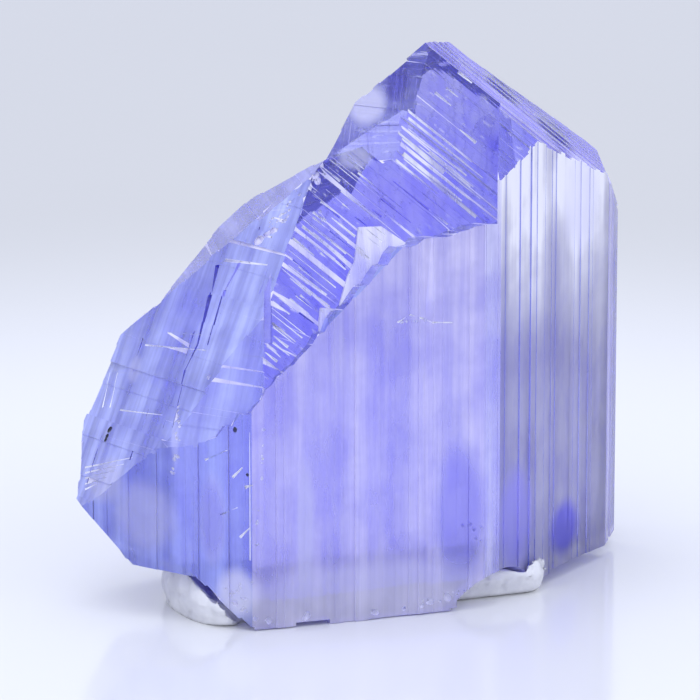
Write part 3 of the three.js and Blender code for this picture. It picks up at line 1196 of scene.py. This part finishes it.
@dataclass
class Crystal:
    """The stone itself.

    Attributes:
        name: The piece's name.
        slope: The left head's striated slope.
        bands: The middle head's banded slope.
        top: The top head's slope.
        front: The prism's front face.
        right: The prism's right face.
        lower_left: The prism's face below the left head.
        left: The left head's corner face.
    """

    name: str = "crystal_stone"
    slope: Facet = Facet(ridge_facing(STEEP_LEAN), LEFT_APEX, RIDGE)
    bands: Facet = Facet(ridge_facing(FLAT_LEAN), MIDDLE_APEX, RIDGE)
    top: Facet = Facet(ridge_facing(STEEP_LEAN), TOP_FOOT, RIDGE)
    front: Facet = Facet(facing(20), FRONT_FOOT, UPRIGHT)
    right: Facet = Facet(facing(58), RIGHT_FOOT, UPRIGHT)
    lower_left: Facet = Facet(facing(-25), FRONT_FOOT, UPRIGHT)
    left: Facet = Facet(LEFT_CORNER, LEFT_POINT, Grain.STEEP.along(LEFT_CORNER))

    def build(self) -> bpy.types.Object:
        """Copies the CAD solid, carves it and dresses it.

        Returns:
            The new object.
        """
        mesh = bpy.data.meshes.new(self.name)
        solid = cad_copy("crystal")
        bmesh.ops.scale(solid, verts=solid.verts, vec=Vector((1, 1, 1)) / MM)
        for face in solid.faces:
            face.material_index = Cut.NONE.value
        solid.to_mesh(mesh)
        solid.free()
        cut_slots(mesh)
        stone = put(self.name, mesh)
        self.dress(stone, self.carve(stone))
        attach(stone, "root")
        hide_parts("crystal")
        return stone

    def carve(self, stone: bpy.types.Object) -> list[tuple[Patch, Vector]]:
        """Cuts the stone's fine lines, pits and plates.

        Args:
            stone: The stone.

        Returns:
            The soft patches and their middles on the stone.
        """
        carver = Carver(stone)
        carver.plate(self.slope, PALE_PLATE, sunk=0.3, proud=0.14)
        carver.carve("plates")
        for lines in (
            Striations(self.slope, (-8.5, -1.2), (-1.0, 4.6), 0.19, (0.04, 0.13), (0.3, 1.0), 11),
            Striations(self.slope, (-1.2, 2.0), (-0.5, 7.0), 0.28, (0.05, 0.11), (0.1, 0.5), 21),
            Striations(self.slope, (-8.0, 2.0), (-0.5, 7.0), 0.7, (0.05, 0.12), (0.1, 0.4), 18, Cut.NOTCH),
            Striations(self.bands, (-0.6, 3.2), (-3.0, 8.0), 0.24, (0.09, 0.26), (0.5, 1.0), 12),
            Striations(self.bands, (-4.0, -0.6), (-3.0, 8.0), 0.4, (0.05, 0.1), (0.2, 0.6), 22),
            Striations(self.top, (-5.0, 3.0), (-3.0, 8.0), 0.35, (0.07, 0.16), (0.05, 0.3), 13),
            Striations(self.front, (0.0, 9.8), (0.3, 18.0), 0.7, (0.03, 0.07), (0.2, 0.9), 14),
            Striations(self.right, (0.0, 8.4), (0.6, 18.6), 1.0, (0.03, 0.06), (0.2, 0.6), 15),
            Striations(self.lower_left, (-7.8, 0.0), (0.6, 9.0), 0.5, (0.03, 0.07), (0.15, 0.7), 16),
            Striations(self.left, (-8.5, 6.0), (-7.0, 5.0), 1.1, (0.03, 0.08), (0.15, 0.5), 17, Cut.NOTCH),
        ):
            carver.striate(lines)
        for mark in SCRATCHES:
            carver.scratch(mark)
        carver.carve("lines")
        for seed, pits in enumerate(PITS, PIT_SEED):
            carver.scatter(pits, seed)
        spots = [(patch, carver.seen(patch.at)) for patch in PATCHES]
        for group in PIT_ROUNDS:
            carver.carve(group)
        return [(patch, found[0]) for patch, found in spots if found]

    def dress(self, stone: bpy.types.Object, patches: list[tuple[Patch, Vector]]) -> None:
        """Writes each face's look into the stone and gives it its finish.

        Args:
            stone: The carved stone.
            patches: Its soft patches and their middles.
        """
        solid = bmesh.new()
        solid.from_mesh(stone.data)
        self.settle(solid)
        bmesh.ops.remove_doubles(solid, verts=solid.verts, dist=CARVED_MERGE)
        bmesh.ops.holes_fill(solid, edges=[edge for edge in solid.edges if edge.is_boundary], sides=0)
        self.settle(solid)
        bmesh.ops.dissolve_limit(
            solid,
            angle_limit=math.radians(FLAT_TURN),
            verts=solid.verts,
            edges=solid.edges,
            delimit={"MATERIAL"},
        )
        self.mark_zones(solid)
        for face in solid.faces:
            face.material_index = 0
        bmesh.ops.triangulate(solid, faces=[face for face in solid.faces if len(face.verts) > 4])
        bmesh.ops.scale(solid, verts=solid.verts, vec=Vector((1, 1, 1)) * MM)
        open_edges = sum(not edge.is_manifold for edge in solid.edges)
        LOG.info("%s: %d open edges, %d faces", self.name, open_edges, len(solid.faces))
        solid.to_mesh(stone.data)
        solid.free()
        stone.data.materials.clear()
        stone.data.materials.append(StoneFinish().material(patches))

    @staticmethod
    def settle(solid: bmesh.types.BMesh) -> None:
        """Puts a mesh's parts in an order that depends on their places alone, the same in each run.

        Args:
            solid: The stone.
        """
        solid.verts.sort(key=lambda vert: vert.co.dot(SORT_WAY))
        solid.edges.sort(key=lambda edge: (edge.verts[0].co + edge.verts[1].co).dot(SORT_WAY))
        solid.faces.sort(key=lambda face: face.calc_center_median().dot(SORT_WAY))

    def mark_zones(self, solid: bmesh.types.BMesh) -> None:
        """Writes each face's look into the mesh's attributes.

        Args:
            solid: The stone.
        """
        layers = solid.faces.layers
        frost = layers.float.new("frost")
        rough = layers.float.new("rough")
        # How far each face's frost thins towards its foot: painted shade
        fade = layers.float.new("fade")
        tint = layers.float_color.new("tint")
        bloom = layers.float_color.new("bloom")
        along = layers.float_vector.new("along")
        across = layers.float_vector.new("across")
        solid.normal_update()
        counts: dict[str, int] = {}
        for face in solid.faces:
            zone = zone_of(face)
            counts[zone.name] = counts.get(zone.name, 0) + 1
            look = zone.value
            grain = look.grain.along(face.normal)
            face[frost] = look.frost
            face[rough] = look.rough
            face[fade] = look.fade
            face[tint] = (*look.tint, 1.0)
            face[bloom] = (*look.bloom, 1.0)
            face[along] = grain
            face[across] = face.normal.cross(grain)
        LOG.info("zones %s", counts)


@dataclass(frozen=True)
class PuttyFinish:
    """Matte white putty with a faint unevenness.

    Attributes:
        pale: Its lighter colour.
        grey: Its darker colour.
        smear_scale: Smears of the two a millimetre.
        grit_scale: Grains a millimetre.
        rough: Lowest and highest roughness.
        relief: Strength of the fine relief.
        relief_height: Its height in millimetres.
    """

    pale: Colour = (0.86, 0.86, 0.88)
    grey: Colour = (0.7, 0.7, 0.74)
    smear_scale: float = 0.7
    grit_scale: float = 6.0
    rough: Span = (0.55, 0.75)
    relief: float = 0.4
    relief_height: float = 0.05

    def material(self) -> bpy.types.Material:
        """Builds the putty's material.

        Returns:
            The finished material.
        """
        wiring = Wiring("white_putty")
        place = wiring.place()
        smear = wiring.noise(place, self.smear_scale, detail=3.0)
        grit = wiring.noise(place, self.grit_scale)
        base = wiring.mix(wiring.between(smear, 0.35, 0.65, 0.0, 1.0), (*self.grey, 1), (*self.pale, 1))
        wiring.link(base, wiring.shader.inputs["Base Color"])
        wiring.link(wiring.between(grit, 0.3, 0.7, *self.rough), wiring.shader.inputs["Roughness"])
        relief = wiring.bump(grit, self.relief, self.relief_height)
        wiring.link(relief, wiring.shader.inputs["Normal"])
        return wiring.material


@dataclass
class Putty:
    """The pinch of white display putty that the stone stands in.

    Attributes:
        name: The piece's name.
        voxel: Size of its mesh in millimetres.
        dent: Depth of its broad dents.
        dent_scale: Dents a millimetre.
        crease: Depth of its creases.
        crease_scale: Creases a millimetre.
        crease_width: How far from a crease's middle its pattern strays before the crease ends.
        crease_shift: Where the creases' pattern starts.
        underside: Upward share of a normal below which nothing is pressed.
    """

    name: str = "putty_lump"
    voxel: float = 0.16
    dent: float = 0.16
    dent_scale: float = 0.55
    crease: float = 0.1
    crease_scale: float = 0.9
    crease_width: float = 0.14
    crease_shift: Vector = Vector((7, 3, 1))
    underside: float = -0.6

    def build(self) -> bpy.types.Object:
        """Copies the CAD lump, evens its mesh and presses dents into it.

        Returns:
            The new object.
        """
        mesh = bpy.data.meshes.new(self.name)
        solid = cad_copy("putty")
        solid.to_mesh(mesh)
        solid.free()
        lump = put(self.name, mesh)
        remesh = lump.modifiers.new("even", "REMESH")
        remesh.mode = "VOXEL"
        remesh.voxel_size = self.voxel * MM
        apply_modifiers(lump)
        self.press(lump)
        lump.data.materials.append(PuttyFinish().material())
        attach(lump, "root")
        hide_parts("putty")
        return lump

    def press(self, lump: bpy.types.Object) -> None:
        """Presses dents and creases into the lump, but not into its underside.

        Args:
            lump: The lump.
        """
        solid = bmesh.new()
        solid.from_mesh(lump.data)
        solid.normal_update()
        for vert in solid.verts:
            if vert.normal.z > self.underside:
                place = vert.co / MM
                broad = 0.5 + 0.5 * noise.noise(place * self.dent_scale)
                from_crease = abs(noise.noise(place * self.crease_scale + self.crease_shift))
                fold = max(0.0, 1.0 - from_crease / self.crease_width)
                vert.co -= vert.normal * (self.dent * broad + self.crease * fold) * MM
        for face in solid.faces:
            face.smooth = True
        solid.to_mesh(lump.data)
        solid.free()


@dataclass(frozen=True)
class Lamp:
    """A large soft lamp.

    Attributes:
        name: Its name.
        place: Where it hangs, in millimetres.
        size: Its width in millimetres.
        power: Its power in watts.
    """

    name: str
    place: Size
    size: float
    power: float


@dataclass
class Studio:
    """Pale glossy floor, soft light and the photograph's camera.

    Attributes:
        floor_radius: Radius of the floor in metres.
        floor_light_falloff: Millimetres from the middle between which the floor darkens, a painted falloff
            of the light.
        floor_light_pool: Its colour around the stone, a painted pool of light.
        floor_falloff_shade: Its darker colour farther out, painted shade.
        floor_rough: Its lowest and highest roughness.
        sky: Colour of the even light.
        sky_strength: Its strength.
        lamps: The lamps.
        lamp_colour: Their colour.
        lamp_aim: What they point at, in millimetres.
        lens: The camera's focal length in millimetres.
        sensor: Width of its sensor in millimetres.
        bounces: How often light is followed on.
    """

    floor_radius: float = 2.0
    floor_light_falloff: Span = (28.0, 78.0)
    floor_light_pool: Colour = (0.84, 0.84, 0.82)
    floor_falloff_shade: Colour = (0.56, 0.555, 0.52)
    floor_rough: Span = (0.1, 0.14)
    sky: Colour = (0.80, 0.84, 1.0)
    sky_strength: float = 1.08
    lamps: tuple[Lamp, ...] = (
        Lamp("top", (-40, -40, 220), 160, 0.15),
        Lamp("right", (200, -60, 120), 120, 0.06),
    )
    lamp_colour: Colour = (0.82, 0.86, 1.0)
    lamp_aim: Vector = Vector((0, 0, 10))
    lens: float = 257.143
    sensor: float = 36.0
    bounces: int = 12

    def build(self) -> None:
        """Makes the floor, the light and the camera."""
        self.floor()
        self.world()
        self.lights()
        self.camera()

    def floor(self) -> None:
        """A wide glossy white disc, painted lighter around the stone and darker farther out: a painted pool
        of light.
        """
        mesh = bpy.data.meshes.new("floor")
        disc = bmesh.new()
        bmesh.ops.create_circle(disc, cap_ends=True, segments=96, radius=self.floor_radius)
        disc.to_mesh(mesh)
        disc.free()
        floor = put("floor", mesh)
        wiring = Wiring("white_table")
        place = wiring.place()
        length = wiring.node("VectorMath", operation="LENGTH")
        wiring.link(place, length.inputs[0])
        # The floor's colour darkens away from the stone: a painted pool of light and its falloff
        spread = wiring.between(length.outputs["Value"], *self.floor_light_falloff, 0.0, 1.0)
        ramp = wiring.node("ValToRGB")
        ramp.color_ramp.elements[0].color = (*self.floor_light_pool, 1)
        ramp.color_ramp.elements[1].color = (*self.floor_falloff_shade, 1)
        wiring.link(spread, ramp.inputs["Fac"])
        wiring.link(ramp.outputs["Color"], wiring.shader.inputs["Base Color"])
        rough = wiring.noise(place, scale=0.05)
        wiring.link(wiring.between(rough, 0.3, 0.7, *self.floor_rough), wiring.shader.inputs["Roughness"])
        mesh.materials.append(wiring.material)

    def world(self) -> None:
        """An even pale sky."""
        world = bpy.data.worlds.new("studio")
        bpy.context.scene.world = world
        world.use_nodes = True
        background = world.node_tree.nodes["Background"]
        background.inputs["Color"].default_value = (*self.sky, 1)
        background.inputs["Strength"].default_value = self.sky_strength

    def lights(self) -> None:
        """Large soft lamps."""
        for lamp in self.lamps:
            shade = bpy.data.lights.new(lamp.name, "AREA")
            shade.size = lamp.size * MM
            shade.energy = lamp.power
            shade.color = self.lamp_colour
            light = put(lamp.name, shade)
            light.location = Vector(lamp.place) * MM
            aim = self.lamp_aim * MM - light.location
            light.rotation_euler = aim.to_track_quat("-Z", "Y").to_euler()

    def camera(self) -> None:
        """The photograph's view."""
        lens = bpy.data.cameras.new("camera")
        lens.lens = self.lens
        lens.sensor_width = self.sensor
        camera = put("camera", lens)
        camera.location = VIEW.eye * MM
        camera.rotation_euler = VIEW.ahead.to_track_quat("-Z", "Y").to_euler()
        scene = bpy.context.scene
        scene.camera = camera
        scene.view_settings.view_transform = "Standard"
        scene.cycles.use_denoising = True
        scene.cycles.max_bounces = self.bounces
        scene.cycles.transmission_bounces = self.bounces


def main() -> None:
    """Builds every piece in order."""
    logging.basicConfig(level=logging.INFO)
    for assembly in (Crystal(), Putty()):
        piece = assembly.build()
        LOG.info("%s built, %d faces", piece.name, len(piece.data.polygons))
    Studio().build()
    LOG.info("studio built")


if __name__ == "__main__":
    main()
